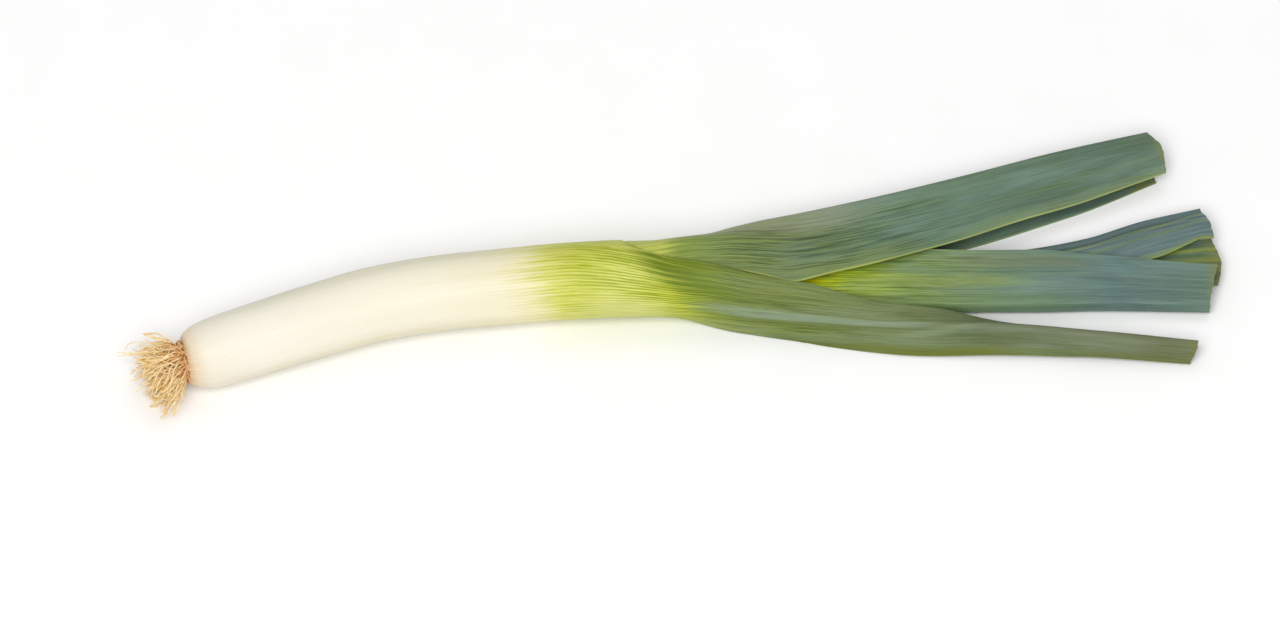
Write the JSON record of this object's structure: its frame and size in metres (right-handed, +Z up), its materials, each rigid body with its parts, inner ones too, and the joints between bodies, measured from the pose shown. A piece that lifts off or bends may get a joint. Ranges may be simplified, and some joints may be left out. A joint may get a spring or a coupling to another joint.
{
  "type": "leek",
  "caption": "A trimmed leek lying on its side: a tuft of roots, a thick pale shank and flat folded green leaves that fan out from the neck.",
  "frame": {"origin": "on the underside of the shank, in the middle of the narrow flat strip that the leek rests on", "axes": "+X from the roots towards the leaf tips, +Z up from the surface it lies on, +Y to the side that its widest leaf spreads to"},
  "size_m": [0.5171, 0.1603, 0.0362],
  "materials": {
    "roots": "dry, pale tan root strands on a brown basal plate",
    "shank": "smooth, slightly glossy white sheath that turns yellow-green towards the neck",
    "leaf": "waxy blue-green blade with fine veins along it"
  },
  "bodies": {
    "root": {"roots": "roots", "shank": "shank", "leaf_1": "leaf", "leaf_2": "leaf", "leaf_3": "leaf", "leaf_4": "leaf", "leaf_5": "leaf"}
  },
  "joints": []
}
